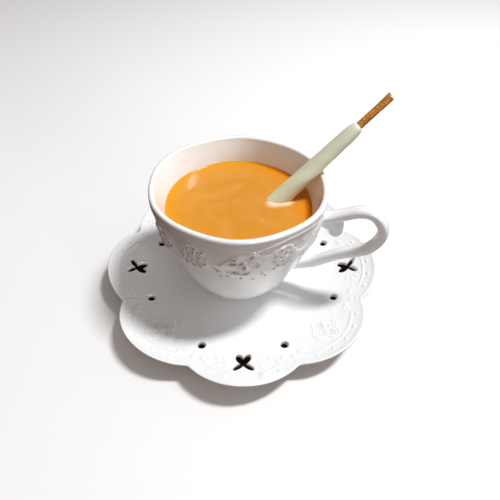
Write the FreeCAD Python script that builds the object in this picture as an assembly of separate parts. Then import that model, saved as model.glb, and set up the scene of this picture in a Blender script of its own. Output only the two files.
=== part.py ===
"""A porcelain cup of milk tea on its pierced saucer, with a coated biscuit stick leaning in the tea.

Millimetres, +Z up. The origin is the saucer's centre on the table, and the handle points mostly along +X.
"""
import FreeCAD, Part
import math
import os

V = FreeCAD.Vector
UP = V(0, 0, 1)

# Saucer
LOBES = 8
TIP_RADIUS = 72.5            # centre to the outermost point of a lobe
NOTCH_RADIUS = 66.0          # centre to the corner between two lobes
NOTCH_FILLET = 2.5
WELL_RADIUS = 24.0           # the flat on which the cup stands
WELL_HEIGHT = 4.5            # top of the well above the table
RIM_RISE = 11.0              # from the well to the tip of a lobe
RISE_POWER = 2.6             # how late the saucer turns up
SAUCER_WALL = 3.0            # in the middle; it thins towards the edge
SAUCER_EDGE_WALL = 1.7
SAUCER_EDGE_FILLET = 0.7
SAUCER_FOOT_OUTER = 34.0
SAUCER_FOOT_INNER = 30.0

# Openwork of the saucer
DOT_RADIUS = 2.0
DOT_CIRCLE = 52.0            # the dots stand in line with the notches
BUTTERFLY_CIRCLE = 58.8      # one butterfly in every second lobe
WING_ROOT = 0.3              # how far a wing reaches past the butterfly's middle
INNER_HALF_LENGTH = 3.1      # wings towards the well
INNER_HALF_WIDTH = 1.75
INNER_ANGLE = 60.0           # of a wing from the tangent of the circle, towards the well
OUTER_HALF_LENGTH = 3.2      # wings towards the edge
OUTER_HALF_WIDTH = 1.25
OUTER_ANGLE = 40.0           # of a wing from the tangent of the circle, towards the edge

# Cup: heights are above its own foot
CUP_PLACE = (-1.9, 0.0)      # the cup's axis on the saucer
CUP_HEIGHT = 63.3
RIM_OUTER_RADIUS = 39.8
LIP_WIDTH = 2.6              # the lip is half round
LIP_CREST = 0.3              # narrow flat on top of the lip
FOOT_RADIUS = 19.6
FOOT_RING_WIDTH = 3.0
FOOT_RECESS = 1.5
FLOOR_HEIGHT = 4.5
FLOOR_RADIUS = 10.0
RIM_LOBES = 6
RIM_LOBE_DEPTH = 0.35        # how far the rim's lobes swing in and out
RIM_OVAL = 0.95              # how much longer the rim is one way, each side
RIM_OVAL_HEADING = -6.0
RIM_SWING_POWER = 3          # how quickly the lobes and the oval die away below the rim
# (share of the height to the lip, share of the way from the foot's radius to the rim's)
OUTSIDE = [(0.0, 0.0), (0.04, 0.092), (0.09, 0.203), (0.15, 0.317), (0.23, 0.451), (0.33, 0.572),
           (0.44, 0.693), (0.57, 0.815), (0.73, 0.932), (0.89, 0.972), (1.0, 1.0)]
# (share of the height from the floor to the lip, share of the way from the floor's radius to the lip's)
INSIDE = [(0.0, 0.0), (0.03, 0.25), (0.09, 0.43), (0.17, 0.55), (0.275, 0.65), (0.395, 0.73),
          (0.53, 0.80), (0.70, 0.86), (0.80, 0.887), (0.90, 0.94), (1.0, 1.0)]

# Handle: a loop in an upright plane through the cup's axis
HANDLE_HEADING = -15.0
HANDLE_REACH = 28.8          # from the wall at the upper root to the far end of the centre line
HANDLE_TOP = 57.5            # the loop's highest centre line point
UPPER_ROOT = 48.0
LOWER_ROOT = 15.0
ROOT_DEPTH = 1.8             # how far the ends run into the wall
# (share of the reach, share of the way from the lower root to the top), from upper to lower root
LOOP = [(0.17, 0.86), (0.36, 0.925), (0.56, 0.99), (0.73, 1.0), (0.87, 0.945), (0.98, 0.83),
        (1.0, 0.715), (0.95, 0.60), (0.845, 0.495), (0.67, 0.415), (0.49, 0.355), (0.31, 0.275),
        (0.12, 0.17), (-0.04, 0.10)]
STRAP_THICK_UPPER = 4.9
STRAP_THICK_LOWER = 5.2
STRAP_WIDTH_UPPER = 6.6
STRAP_WIDTH_LOWER = 5.8
CURL_RADIUS = 3.2            # the thumb curl that hangs under the upper arm
CURL_REACH = 8.4             # from the wall at the upper root
CURL_HEIGHT = 44.7
CURL_TOP = 52.0

# Tea
TEA_HEIGHT = 50.5            # its level above the cup's foot

# Biscuit stick
STICK_HEADING = 13.0         # plan direction in which it rises
STICK_LEAN = 45.8            # its slope above the horizontal
STICK_RIM_ANGLE = 11.6       # where on the rim it rests, seen from above
STICK_ABOVE_RIM = 44.0       # from the rim to its free end
STICK_REST_GAP = 0.1         # between the coating and what it leans on
COATING_ABOVE_RIM = 26.0     # from the rim to the coating's shoulder
COATING_RADIUS_RIM = 3.9
COATING_TAPER = 0.028        # loss of radius for each millimetre of height along the stick
COATING_ROUND = 1.4          # rounding of its shoulder and its low end
COATING_CAP = 2.5            # coating below the biscuit's low end
BISCUIT_RADIUS = 1.65
BISCUIT_BREAK_ANGLE = 28.0   # slant of the broken end

CORNER_CUT = 0.3             # share of a rounding by which a round corner falls short of a sharp one
RING_POINTS_PER_LOBE = 6
CUT_MARGIN = 5.0


def polar(radius, degrees, height=0.0):
    angle = math.radians(degrees)
    return V(radius * math.cos(angle), radius * math.sin(angle), height)


def between(low, high, share):
    return low + (high - low) * share


def curve_edge(points):
    curve = Part.BSplineCurve()
    curve.interpolate(points)
    return curve.toShape()


def line_edge(start, end):
    return Part.LineSegment(start, end).toShape()


# ---------------------------------------------------------------- saucer

def outward(radius):
    """Share of the way from the edge of the well to a lobe's tip."""
    return max(0.0, radius - WELL_RADIUS) / (TIP_RADIUS - WELL_RADIUS)


def saucer_top(radius):
    """Height of the saucer's upper face at a distance from its centre."""
    return WELL_HEIGHT + RIM_RISE * outward(radius) ** RISE_POWER


def saucer_under(radius):
    return saucer_top(radius) - between(SAUCER_WALL, SAUCER_EDGE_WALL, outward(radius))


def saucer_plate():
    """The round plate, past the lobes' tips, turned from its section."""
    edge = TIP_RADIUS + CUT_MARGIN
    steps = 6
    radii = [between(WELL_RADIUS, edge, i / steps) for i in range(steps + 1)]
    top = [V(r, 0, saucer_top(r)) for r in radii]
    under = [V(r, 0, saucer_under(r)) for r in reversed(radii)]
    middle_under = V(0, 0, saucer_under(0))
    edges = [
        line_edge(V(0, 0, WELL_HEIGHT), top[0]),
        curve_edge(top),
        line_edge(top[-1], under[0]),
        curve_edge(under),
        line_edge(under[-1], middle_under),
        line_edge(middle_under, V(0, 0, WELL_HEIGHT)),
    ]
    return Part.Face(Part.Wire(edges)).revolve(V(), UP, 360)


def saucer_foot():
    """A plain ring from the table up into the plate."""
    height = (saucer_top(SAUCER_FOOT_INNER) + saucer_under(SAUCER_FOOT_INNER)) / 2
    ring = Part.makeCylinder(SAUCER_FOOT_OUTER, height)
    return ring.cut(Part.makeCylinder(SAUCER_FOOT_INNER, height))


def lobed_prism():
    """The scalloped outline: equal arcs whose corners are eased by fillets."""
    half = 180.0 / LOBES
    edges = []
    for i in range(LOBES):
        middle = i * 2 * half
        start = polar(NOTCH_RADIUS, middle - half)
        tip = polar(TIP_RADIUS, middle)
        end = polar(NOTCH_RADIUS, middle + half)
        edges.append(Part.Arc(start, tip, end).toShape())
    height = saucer_top(TIP_RADIUS) + CUT_MARGIN
    prism = Part.Face(Part.Wire(edges)).extrude(V(0, 0, height))
    corners = [e for e in prism.Edges if abs(e.tangentAt(e.FirstParameter).z) > 0.99]
    return prism.makeFillet(NOTCH_FILLET, corners)


def dot_holes():
    height = saucer_top(TIP_RADIUS)
    holes = []
    for i in range(LOBES):
        place = polar(DOT_CIRCLE, (i + 0.5) * 360.0 / LOBES)
        holes.append(Part.makeCylinder(DOT_RADIUS, height, place))
    return holes


def butterfly(heading):
    """Four wings that meet in the middle, cut upright through the plate."""
    height = saucer_top(TIP_RADIUS)
    wings = []
    for length, width, angle in (
        (INNER_HALF_LENGTH, INNER_HALF_WIDTH, 90 + INNER_ANGLE),
        (OUTER_HALF_LENGTH, OUTER_HALF_WIDTH, 90 - OUTER_ANGLE),
    ):
        for turn in (-angle, angle):
            ellipse = Part.Ellipse(V(), length, width).toShape()
            wing = Part.Face(Part.Wire(ellipse)).extrude(V(0, 0, height))
            wing.translate(V(length - WING_ROOT, 0, 0))
            wing.rotate(V(), UP, turn)
            wings.append(wing)
    shape = wings[0].fuse(wings[1:]).removeSplitter()
    shape.translate(V(BUTTERFLY_CIRCLE, 0, 0))
    shape.rotate(V(), UP, heading)
    return shape


def saucer():
    plate = saucer_plate().common(lobed_prism())
    rim = [e for e in plate.Edges
           if min(math.hypot(v.X, v.Y) for v in e.Vertexes) > WELL_RADIUS
           and abs(e.Vertexes[0].Z - e.Vertexes[-1].Z) < SAUCER_EDGE_WALL / 2]
    plate = plate.makeFillet(SAUCER_EDGE_FILLET, rim)
    cuts = dot_holes()
    for i in range(0, LOBES, 2):
        cuts.append(butterfly(i * 360.0 / LOBES))
    return plate.fuse(saucer_foot()).cut(cuts).removeSplitter()


# ---------------------------------------------------------------- cup

def rim_swing(height, degrees):
    """How far the wall stands out of round at a height above the foot."""
    share = max(0.0, height / CUP_HEIGHT) ** RIM_SWING_POWER
    lobes = -RIM_LOBE_DEPTH * math.cos(math.radians(RIM_LOBES * degrees))
    oval = RIM_OVAL * math.cos(math.radians(2 * (degrees - RIM_OVAL_HEADING)))
    return share * (lobes + oval)


def ring(radius, height):
    count = RIM_LOBES * RING_POINTS_PER_LOBE
    points = []
    for i in range(count):
        degrees = 360.0 * i / count
        points.append(polar(radius + rim_swing(height, degrees), degrees, height))
    curve = Part.BSplineCurve()
    curve.interpolate(Points=points, PeriodicFlag=True)
    return Part.Wire([curve.toShape()])


def lip_rings(side):
    """A quarter round from the wall to the crest; side is 1 outside and -1 inside."""
    lip_radius = LIP_WIDTH / 2
    crest = RIM_OUTER_RADIUS - lip_radius
    rings = []
    for turn in (22.5, 45.0, 67.5, 90.0):
        out = max(lip_radius * math.cos(math.radians(turn)), LIP_CREST / 2)
        rings.append((crest + side * out, CUP_HEIGHT - lip_radius * (1 - math.sin(math.radians(turn)))))
    return rings


def outside_rings():
    lip_base = CUP_HEIGHT - LIP_WIDTH / 2
    wall = [(between(FOOT_RADIUS, RIM_OUTER_RADIUS, r), lip_base * h) for h, r in OUTSIDE]
    return wall + lip_rings(1)


def inside_rings():
    lip_base = CUP_HEIGHT - LIP_WIDTH / 2
    lip_inner = RIM_OUTER_RADIUS - LIP_WIDTH
    wall = [(between(FLOOR_RADIUS, lip_inner, r), between(FLOOR_HEIGHT, lip_base, h))
            for h, r in INSIDE]
    return wall + lip_rings(-1)


def radius_at(rings, height):
    """Mean radius of a stack of rings at a height, straight between rings."""
    for (r0, h0), (r1, h1) in zip(rings, rings[1:]):
        if height <= h1:
            return between(r0, r1, (height - h0) / (h1 - h0))
    return rings[-1][0]


def cavity():
    """The space inside the cup, from its floor to its rim."""
    return Part.makeLoft([ring(r, h) for r, h in inside_rings()], True, False)


def bowl():
    body = Part.makeLoft([ring(r, h) for r, h in outside_rings()], True, False)
    recess = Part.makeCylinder(FOOT_RADIUS - FOOT_RING_WIDTH, FOOT_RECESS)
    return body.cut([cavity(), recess])


def strap_section(place, tangent, share):
    """An oval across the handle's centre line; share runs from the upper root to the lower."""
    thick = between(STRAP_THICK_UPPER, STRAP_THICK_LOWER, share) / 2
    width = between(STRAP_WIDTH_UPPER, STRAP_WIDTH_LOWER, share) / 2
    across = V(0, 1, 0)
    inward = tangent.cross(across).normalize()
    if width >= thick:
        oval = Part.Ellipse(place + across * width, place + inward * thick, place)
    else:
        oval = Part.Ellipse(place + inward * thick, place + across * width, place)
    return Part.Wire([oval.toShape()])


def handle_line():
    """The centre line's points, drawn along +X and turned later."""
    outside = outside_rings()
    wall = radius_at(outside, UPPER_ROOT)
    points = [V(wall - ROOT_DEPTH, 0, UPPER_ROOT)]
    for reach, rise in LOOP:
        points.append(V(wall + HANDLE_REACH * reach, 0, between(LOWER_ROOT, HANDLE_TOP, rise)))
    points.append(V(radius_at(outside, LOWER_ROOT) - ROOT_DEPTH, 0, LOWER_ROOT))
    return points


def handle():
    curve = Part.BSplineCurve()
    curve.interpolate(handle_line())
    stations = 26
    sections = []
    for i in range(stations + 1):
        share = i / stations
        place_on = between(curve.FirstParameter, curve.LastParameter, share)
        tangent = V(*curve.tangent(place_on)[0])
        sections.append(strap_section(curve.value(place_on), tangent, share))
    strap = Part.makeLoft(sections, True, False)
    wall = radius_at(outside_rings(), UPPER_ROOT)
    low = V(wall + CURL_REACH, 0, CURL_HEIGHT)
    curl = Part.makeCylinder(CURL_RADIUS, CURL_TOP - CURL_HEIGHT, low)
    shape = strap.fuse([curl, Part.makeSphere(CURL_RADIUS, low)])
    shape.rotate(V(), UP, HANDLE_HEADING)
    return shape


def to_saucer(shape):
    """From the cup's own foot to its place on the saucer."""
    shape.translate(V(CUP_PLACE[0], CUP_PLACE[1], WELL_HEIGHT))
    return shape


# ---------------------------------------------------------------- biscuit stick

def stick_axis():
    """Point where the stick passes over the rim, and its rising direction, in the cup's frame.

    The axis keeps the coating's radius, the lip's radius and a small gap from the line that the
    lip's centre follows round the rim.
    """
    lip_radius = LIP_WIDTH / 2
    ring_radius = RIM_OUTER_RADIUS - lip_radius + rim_swing(CUP_HEIGHT, STICK_RIM_ANGLE)
    lip = polar(ring_radius, STICK_RIM_ANGLE, CUP_HEIGHT - lip_radius)
    along_rim = polar(1.0, STICK_RIM_ANGLE + 90)
    rising = polar(math.cos(math.radians(STICK_LEAN)), STICK_HEADING)
    rising = rising + V(0, 0, math.sin(math.radians(STICK_LEAN)))
    away = rising.cross(along_rim).normalize()
    if away.z < 0:
        away = away * -1
    return lip + away * (lip_radius + COATING_RADIUS_RIM + STICK_REST_GAP), rising


def coating_radius(along):
    """Radius of the coating at a distance above the rim along the stick."""
    return COATING_RADIUS_RIM - COATING_TAPER * along


def stick_depth():
    """How far below the rim the coating may reach before its end meets the inside of the cup."""
    start, rising = stick_axis()
    inside = inside_rings()
    side = rising.cross(UP).normalize()
    other = side.cross(rising)
    depth = 0.0
    step = 0.05
    while True:
        end = start - rising * (depth + step)
        radius = coating_radius(-depth - step) - COATING_ROUND * CORNER_CUT
        for turn in range(0, 360, 10):
            across = side * math.cos(math.radians(turn)) + other * math.sin(math.radians(turn))
            point = end + across * radius
            if point.z < FLOOR_HEIGHT + STICK_REST_GAP:
                return depth
            room = radius_at(inside, point.z) - STICK_REST_GAP
            if point.z < TEA_HEIGHT and math.hypot(point.x, point.y) > room:
                return depth
        depth += step


def coating_form():
    """The whole coated length, with round ends and no bore."""
    start, rising = stick_axis()
    depth = stick_depth()
    low = start - rising * depth
    length = depth + COATING_ABOVE_RIM
    cone = Part.makeCone(coating_radius(-depth), coating_radius(COATING_ABOVE_RIM), length, low, rising)
    ends = [e for e in cone.Edges if len(e.Vertexes) == 1]
    return cone.makeFillet(COATING_ROUND, ends)


def biscuit():
    """The core from inside the coating's closed low end to its broken top."""
    start, rising = stick_axis()
    low = start - rising * (stick_depth() - COATING_CAP)
    length = stick_depth() - COATING_CAP + STICK_ABOVE_RIM
    rod = Part.makeCylinder(BISCUIT_RADIUS, length, low, rising)
    top = start + rising * STICK_ABOVE_RIM
    size = 4 * BISCUIT_RADIUS
    knife = Part.makeBox(2 * size, 2 * size, size, V(-size, -size, 0))
    knife.rotate(V(), V(0, 1, 0), BISCUIT_BREAK_ANGLE)
    knife.translate(V(0, 0, -BISCUIT_RADIUS * math.tan(math.radians(BISCUIT_BREAK_ANGLE))))
    turn = FreeCAD.Rotation(UP, rising)
    knife.Placement = FreeCAD.Placement(top, turn).multiply(knife.Placement)
    return rod.cut(knife)


# ---------------------------------------------------------------- the whole

def tea(coating_solid):
    """The cup's inside up to the level, cut round the stick."""
    rim = RIM_OUTER_RADIUS + CUT_MARGIN
    above = Part.makeCylinder(rim, CUP_HEIGHT, V(0, 0, TEA_HEIGHT))
    return cavity().cut([above, coating_solid])


def write(name, shape):
    solids = shape.Solids
    if len(solids) != 1 or not shape.isValid():
        raise ValueError(f"{name} is {len(solids)} solids, valid: {shape.isValid()}")
    solids[0].exportStep(f"parts/{name}.step")


def main():
    os.makedirs("parts", exist_ok=True)
    whole_coating = coating_form()
    core = biscuit()
    write("saucer", saucer())
    write("cup", to_saucer(bowl().fuse(handle().cut(cavity())).removeSplitter()))
    write("tea", to_saucer(tea(whole_coating)))
    write("coating", to_saucer(whole_coating.cut(core)))
    write("biscuit", to_saucer(core))


main()
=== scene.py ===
import math
from collections import namedtuple

import bpy
import numpy as np
from mathutils import Matrix, Vector
from mathutils.geometry import delaunay_2d_cdt


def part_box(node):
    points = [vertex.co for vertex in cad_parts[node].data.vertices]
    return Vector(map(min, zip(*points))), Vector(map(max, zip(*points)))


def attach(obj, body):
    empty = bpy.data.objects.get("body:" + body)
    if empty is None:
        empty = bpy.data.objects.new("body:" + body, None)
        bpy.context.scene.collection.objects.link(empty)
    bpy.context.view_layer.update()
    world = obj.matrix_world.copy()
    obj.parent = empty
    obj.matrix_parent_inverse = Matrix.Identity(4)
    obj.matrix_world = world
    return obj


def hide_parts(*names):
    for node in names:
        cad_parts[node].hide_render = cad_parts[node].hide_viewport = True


bl_info = {
    "name": "Cup of Milk Tea",
    "version": (1, 0, 0),
    "blender": (4, 5, 0),
    "location": "3D View > Sidebar > Milk Tea",
    "description": "An embossed porcelain cup and pierced saucer, with milk tea and a coated biscuit stick",
    "category": "Add Mesh",
}

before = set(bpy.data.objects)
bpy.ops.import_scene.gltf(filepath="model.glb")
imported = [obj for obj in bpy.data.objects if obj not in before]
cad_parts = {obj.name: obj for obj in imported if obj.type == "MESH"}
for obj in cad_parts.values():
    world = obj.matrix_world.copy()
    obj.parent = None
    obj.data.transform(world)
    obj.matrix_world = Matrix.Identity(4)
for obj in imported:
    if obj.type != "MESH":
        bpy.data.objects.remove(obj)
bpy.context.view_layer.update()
MM = 0.001
TURN = 2.0 * math.pi
UPRIGHT = math.pi / 2
TEA_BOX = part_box("tea")
COATING_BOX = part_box("coating")

# Saucer, in millimetres
LOBES = 8
TIP_RADIUS = 72.5
NOTCH_RADIUS = 66.0
NOTCH_SOFT = 2.57
WELL_RADIUS = 24.0
WELL_HEIGHT = 4.5
RIM_RISE = 11.0
RISE_POWER = 2.6
WALL_MIDDLE = 3.0
WALL_EDGE = 1.7
FOOT_OUTER = 34.0
FOOT_INNER = 30.0
FOOT_STEP = 0.3
ROUND_OVER = 0.6
RIDGE_IN = 6.4
RIDGE_END = math.radians(41.0)
BAND_IN = 3.7
BAND_HALF = 1.9
BAND_END = math.radians(43.0)
WEAVE = 1.35
BEAD_STEP = math.radians(16.4)
BEAD_SINK = 0.12
# Domes at each notch: across, out, radius
NOTCH_DOMES = ((-4.4, 59.0, 1.35), (0.0, 60.4, 1.15), (4.4, 59.0, 1.35), (0.0, 63.2, 0.8))
ROSETTE_OUT = 57.0
ROSETTE_REACH = 3.9
DOT_CIRCLE = 52.0
DOT_RADIUS = 2.0
DOT_TAPER = 0.5
WING_TAPER = 0.2
BUTTERFLY_CIRCLE = 58.8
WING_ROOT = 0.3
# Leaves on both sides of a lobe: across, out, turn, half length, half width, height
ROSETTE_LEAVES = ((4.8, 48.2, UPRIGHT - 0.5, 1.9, 0.75, 0.26), (2.6, 47.0, UPRIGHT - 0.2, 1.5, 0.6, 0.24),
                  (10.4, 54.0, UPRIGHT + 0.5, 1.7, 0.65, 0.22), (12.4, 52.0, 0.3, 1.4, 0.55, 0.2))
WING_LEAVES = ((8.9, 59.2, 0.15, 1.8, 0.7, 0.34), (8.2, 61.5, 0.75, 1.6, 0.6, 0.34),
               (8.4, 56.8, -0.55, 1.6, 0.6, 0.3), (12.4, 55.4, UPRIGHT + 0.4, 1.7, 0.6, 0.26),
               (6.4, 50.6, 0.5, 1.5, 0.55, 0.22))
# Butterfly wings: lean, half length, half width
INNER_WING = (math.radians(60.0), 3.1, 1.75)
OUTER_WING = (math.radians(-40.0), 3.2, 1.25)

# Spacing and number of the saucer's points
RELIEF_FROM = 43.5
PAST_TIP = 74.0
COARSE_STEP = 1.7
UNDER_STEPS = (2.2, 2.2, 1.9)
EDGE_POINTS = 1040
DOT_POINTS = 36
WING_POINTS = 120
NO_EDGE = 9.0
CHORD_GAP = 0.012
EDGE_STEPS = (0.0, 0.12, 0.32, 0.62)

# Cup, in millimetres above its own foot
CUP_X = -1.9
CUP_Z = WELL_HEIGHT
CUP_HEIGHT = 63.3
LIP_HALF = 1.3
LIP_CENTRE = (38.5, 62.0)
FOOT_RADIUS = 19.6
FOOT_WIDTH = 3.0
FOOT_RECESS = 1.5
FLOOR_HEIGHT = 4.5
FLOOR_RADIUS = 10.0
FLOOR_DIP = 0.1
# Outline of the walls: share of the height, and share of the way from the foot or floor to the lip
OUTSIDE = [(0, 0), (0.04, 0.092), (0.09, 0.203), (0.15, 0.317), (0.23, 0.451), (0.33, 0.572),
           (0.44, 0.693), (0.57, 0.815), (0.73, 0.932), (0.89, 0.972), (1, 1)]
INSIDE = [(0, 0), (0.03, 0.25), (0.09, 0.43), (0.17, 0.55), (0.275, 0.65), (0.395, 0.73),
          (0.53, 0.80), (0.70, 0.86), (0.80, 0.887), (0.90, 0.94), (1, 1)]

# Embossing of the cup: across in degrees or millimetres from the middle of its repeat, and height
RELIEF_LOW = 33.0
RELIEF_FULL = 37.0
RELIEF_HIGH = 60.9
REPEAT = 60.0
REPEAT_LEFT = 28.5
REPEAT_HEADING = -82.0
SWAG_HEADING = -112.0
SWAG_HIGH = 59.7
SWAG_DROP = 3.1
RELIEF_RADIUS = 37.6
# Top edge of the raised field: degrees, height
FIELD_EDGE = [(-28.5, 50.2), (-27.2, 48.9), (-20.8, 48.4), (-14.2, 52.6), (-8.2, 55.6), (0, 56.2),
              (5, 55.0), (9.8, 53.8), (15.2, 55.2), (22.8, 56.6), (28.0, 53.8), (31.5, 50.2)]
# Across, height, turn, half length, half width
PETALS = [(-7.5, 52.8, 0.5, 1.7, 0.8), (-8.0, 50.2, 0.4, 2.0, 0.85), (-4.6, 50.4, 0.7, 1.7, 0.8),
          (-3.3, 47.7, 1.2, 1.7, 0.95), (-7.0, 44.4, -0.1, 2.7, 1.0), (-2.8, 43.6, 0.3, 2.0, 0.9),
          (-0.4, 54.1, 0.6, 1.7, 0.75), (2.3, 48.3, 0.5, 1.5, 0.65), (-14.6, 45.4, -0.5, 2.0, 0.5)]
CUP_ROSETTE = (14.8, 49.4)
RINGED_BUD = (0.8, 50.8)
DOTS = [(-14.8, 43.6), (-13.3, 40.2), (-10.2, 41.2), (-4.5, 39.4), (1.0, 37.4), (4.5, 42.0), (6.2, 39.4),
        (10.0, 43.4)]

CUP_COLUMNS = 750
RELIEF_ROWS = 80

# Handle, in millimetres
HANDLE_HEADING = math.radians(-15.0)
HANDLE_REACH = 28.8
HANDLE_TOP = 57.5
UPPER_ROOT = 48.0
LOWER_ROOT = 15.0
# The bar's middle line: shares of its reach, and of the way from the lower root to the top
LOOP = [(0.17, 0.86), (0.36, 0.925), (0.56, 0.99), (0.73, 1.0), (0.87, 0.945), (0.98, 0.83),
        (1.0, 0.715), (0.95, 0.60), (0.845, 0.495), (0.67, 0.415), (0.49, 0.355), (0.31, 0.275),
        (0.12, 0.17), (-0.04, 0.10)]
CURL_TOP = 51.0
CURL_LOW = 43.9
CURL_ROUND = 3.2
CURL_WIDE = 2.85
# The curl's distance from the cup's axis and its half thickness, each by height
CURL_MIDDLE = [(40.0, 46.7), (43.6, 46.7), (45.2, 46.6), (46.8, 46.2), (48.8, 44.6), (51.2, 43.3)]
CURL_HALF = [(40.0, 3.1), (43.6, 3.2), (45.2, 3.4), (46.8, 3.9), (48.8, 5.5), (51.2, 6.6)]

# Stick, in millimetres
STICK_POINT = np.array((32.73, 7.11, 70.19))
STICK_WAY = np.array((0.6793, 0.1568, 0.7169))
STICK_ABOVE = 44.0
COATING_ABOVE = 26.0
COATING_RADIUS = 3.9
COATING_TAPER = 0.028
COATING_LOW = 4.6
SHOULDER = 1.6
NECK = 7.5
# Length below the shoulder over which the painted highlight rises
HIGHLIGHT_NECK = 3.4
BISCUIT_RADIUS = 1.65
BISCUIT_SUNK = 2.2
BREAK_DEPTH = 1.0

# Tea, in millimetres
TEA_SINK = 0.55
TEA_CLIMB = 0.75
TEA_CLING = 0.30
TEA_BOTTOM = 6.0

# Stage: millimetres and degrees; the room's light goes by how far a direction leans with ROOM_LEAN
FLOOR_HALF = 1500.0
CAMERA_PLACE = (-0.674, -146.309, 177.873)
CAMERA_DOWN, CAMERA_TURN, CAMERA_ROLL = 46.775, -1.765, 1.209
LAMPS_LOOK_AT = (0.0, 0.0, 45.0)
# Each lamp: heading, height, distance and size in metres, colour
KEY_LAMP = (11.0, 63.5, 1.0, 0.11, (0.975, 0.99, 1.0))
KEY_TALL = 0.24
WINDOW_LAMP = (100.1, 36.4, 0.9, 0.01, (0.95, 0.98, 1.0))
FRONT_CARD = (-50.0, 10.0, 1.0, 0.25, (1.0, 0.96, 0.93))
FRONT_GLEAM = (-68.0, 26.0, 1.0, 0.4, (1.0, 1.0, 1.0))
ROOM_LEAN = (0.45, -0.22, 0.87)
ROOM_TONES = ((0.0, (0.27, 0.155, 0.095)), (0.30, (0.66, 0.56, 0.495)), (0.85, (0.90, 0.905, 0.92)))
ROOM_SEEN = 0.95


# ---------------------------------------------------------------- shader maths

class Value:
    """One output socket of a material; arithmetic on it adds Math nodes."""

    def __init__(self, finish, socket):
        self.finish = finish
        self.socket = socket

    def _math(self, operation, first, second, clamped=False):
        return self.finish.node("Math", {"operation": operation, "use_clamp": clamped}, {0: first, 1: second})

    def __add__(self, other):
        return self._math("ADD", self, other)

    def __radd__(self, other):
        return self._math("ADD", other, self)

    def __sub__(self, other):
        return self._math("SUBTRACT", self, other)

    def __rsub__(self, other):
        return self._math("SUBTRACT", other, self)

    def __mul__(self, other):
        return self._math("MULTIPLY", self, other)

    def __rmul__(self, other):
        return self._math("MULTIPLY", other, self)

    def __truediv__(self, other):
        return self._math("DIVIDE", self, other)

    def __rtruediv__(self, other):
        return self._math("DIVIDE", other, self)

    def clamp(self):
        return self._math("ADD", self, 0.0, clamped=True)

    def step(self, low, high):
        """0 below low, 1 above high, straight between."""
        return ((self - low) / (high - low)).clamp()


class Finish:
    """A material with one Principled surface, built from Python expressions."""

    def __init__(self, name, viewport):
        self.material = bpy.data.materials.new(name)
        self.material.use_nodes = True
        self.material.diffuse_color = (*viewport, 1.0)
        self.tree = self.material.node_tree
        self.shader = self.tree.nodes["Principled BSDF"]

    def feed(self, slot, value):
        if isinstance(value, Value):
            self.tree.links.new(value.socket, slot)
        else:
            slot.default_value = value

    def node(self, kind, settings=None, inputs=None, output=0):
        """Adds a node: its settings first, then its socket values or links."""
        node = self.tree.nodes.new("ShaderNode" + kind)
        for name, setting in (settings or {}).items():
            setattr(node, name, setting)
        for name, value in (inputs or {}).items():
            self.feed(node.inputs[name], value)
        return Value(self, node.outputs[output])

    def where(self):
        return self.node("TexCoord", output="Object")

    def attribute(self, name):
        return self.node("Attribute", {"attribute_name": name}, output="Fac")

    def grain(self):
        """Object coordinates drawn out along the biscuit, for its lengthwise streaks."""
        turn = Vector(STICK_WAY).normalized().to_track_quat("Z", "Y").inverted().to_euler()
        upright = self.node("Mapping", None, {"Vector": self.where(), "Rotation": turn})
        return self.node("Mapping", None, {"Vector": upright, "Scale": (1.0, 1.0, 0.12)})

    def noise(self, scale, detail=3.0, roughness=0.55, distortion=0.0, vector=None):
        sockets = {"Scale": scale, "Detail": detail, "Roughness": roughness, "Distortion": distortion}
        return self.node("TexNoise", None, {"Vector": vector or self.where(), **sockets}, "Fac")

    def blend(self, factor, low, high):
        """Mixes two colours, each a plain one or a Value; sockets 6, 7 and 2 are the Mix node's colours."""
        low, high = (colour if isinstance(colour, Value) else (*colour, 1.0) for colour in (low, high))
        return self.node("Mix", {"data_type": "RGBA"}, {"Factor": factor, 6: low, 7: high}, 2)

    def tint(self, tone, name, colour, strength=1.0):
        """Blends towards a colour where the piece's own attribute is high."""
        amount = self.attribute(name).clamp()
        return self.blend(amount if strength == 1.0 else amount * strength, tone, colour)

    def bump(self, height, strength, distance):
        return self.node("Bump", None, {"Height": height, "Strength": strength, "Distance": distance},
                         output="Normal")

    def surface(self, **inputs):
        for name, value in inputs.items():
            if isinstance(value, tuple):
                value = (*value, 1.0)
            self.feed(self.shader.inputs[name.replace("_", " ")], value)
        return self.material


def glazed_porcelain(colour):
    """White glaze, faintly mottled and rippled, with painted warm grey brown shade in the hollows."""
    finish = Finish("glazed_porcelain", colour)
    mottled = finish.noise(60.0, 2.0)
    tone = finish.blend(mottled.step(0.35, 0.7), colour, tuple(c * 0.975 for c in colour))
    # Painted shade: where the hollow attribute is high, in recesses and under the lip, the glaze turns warm
    # grey brown.
    painted_shade = finish.tint(tone, "hollow", (0.40, 0.27, 0.20))
    ripple = finish.noise(420.0, 2.0)
    return finish.surface(Base_Color=painted_shade, Roughness=0.07 + 0.10 * mottled, IOR=1.5,
                          Normal=finish.bump(ripple, 0.05, 0.0006))


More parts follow.
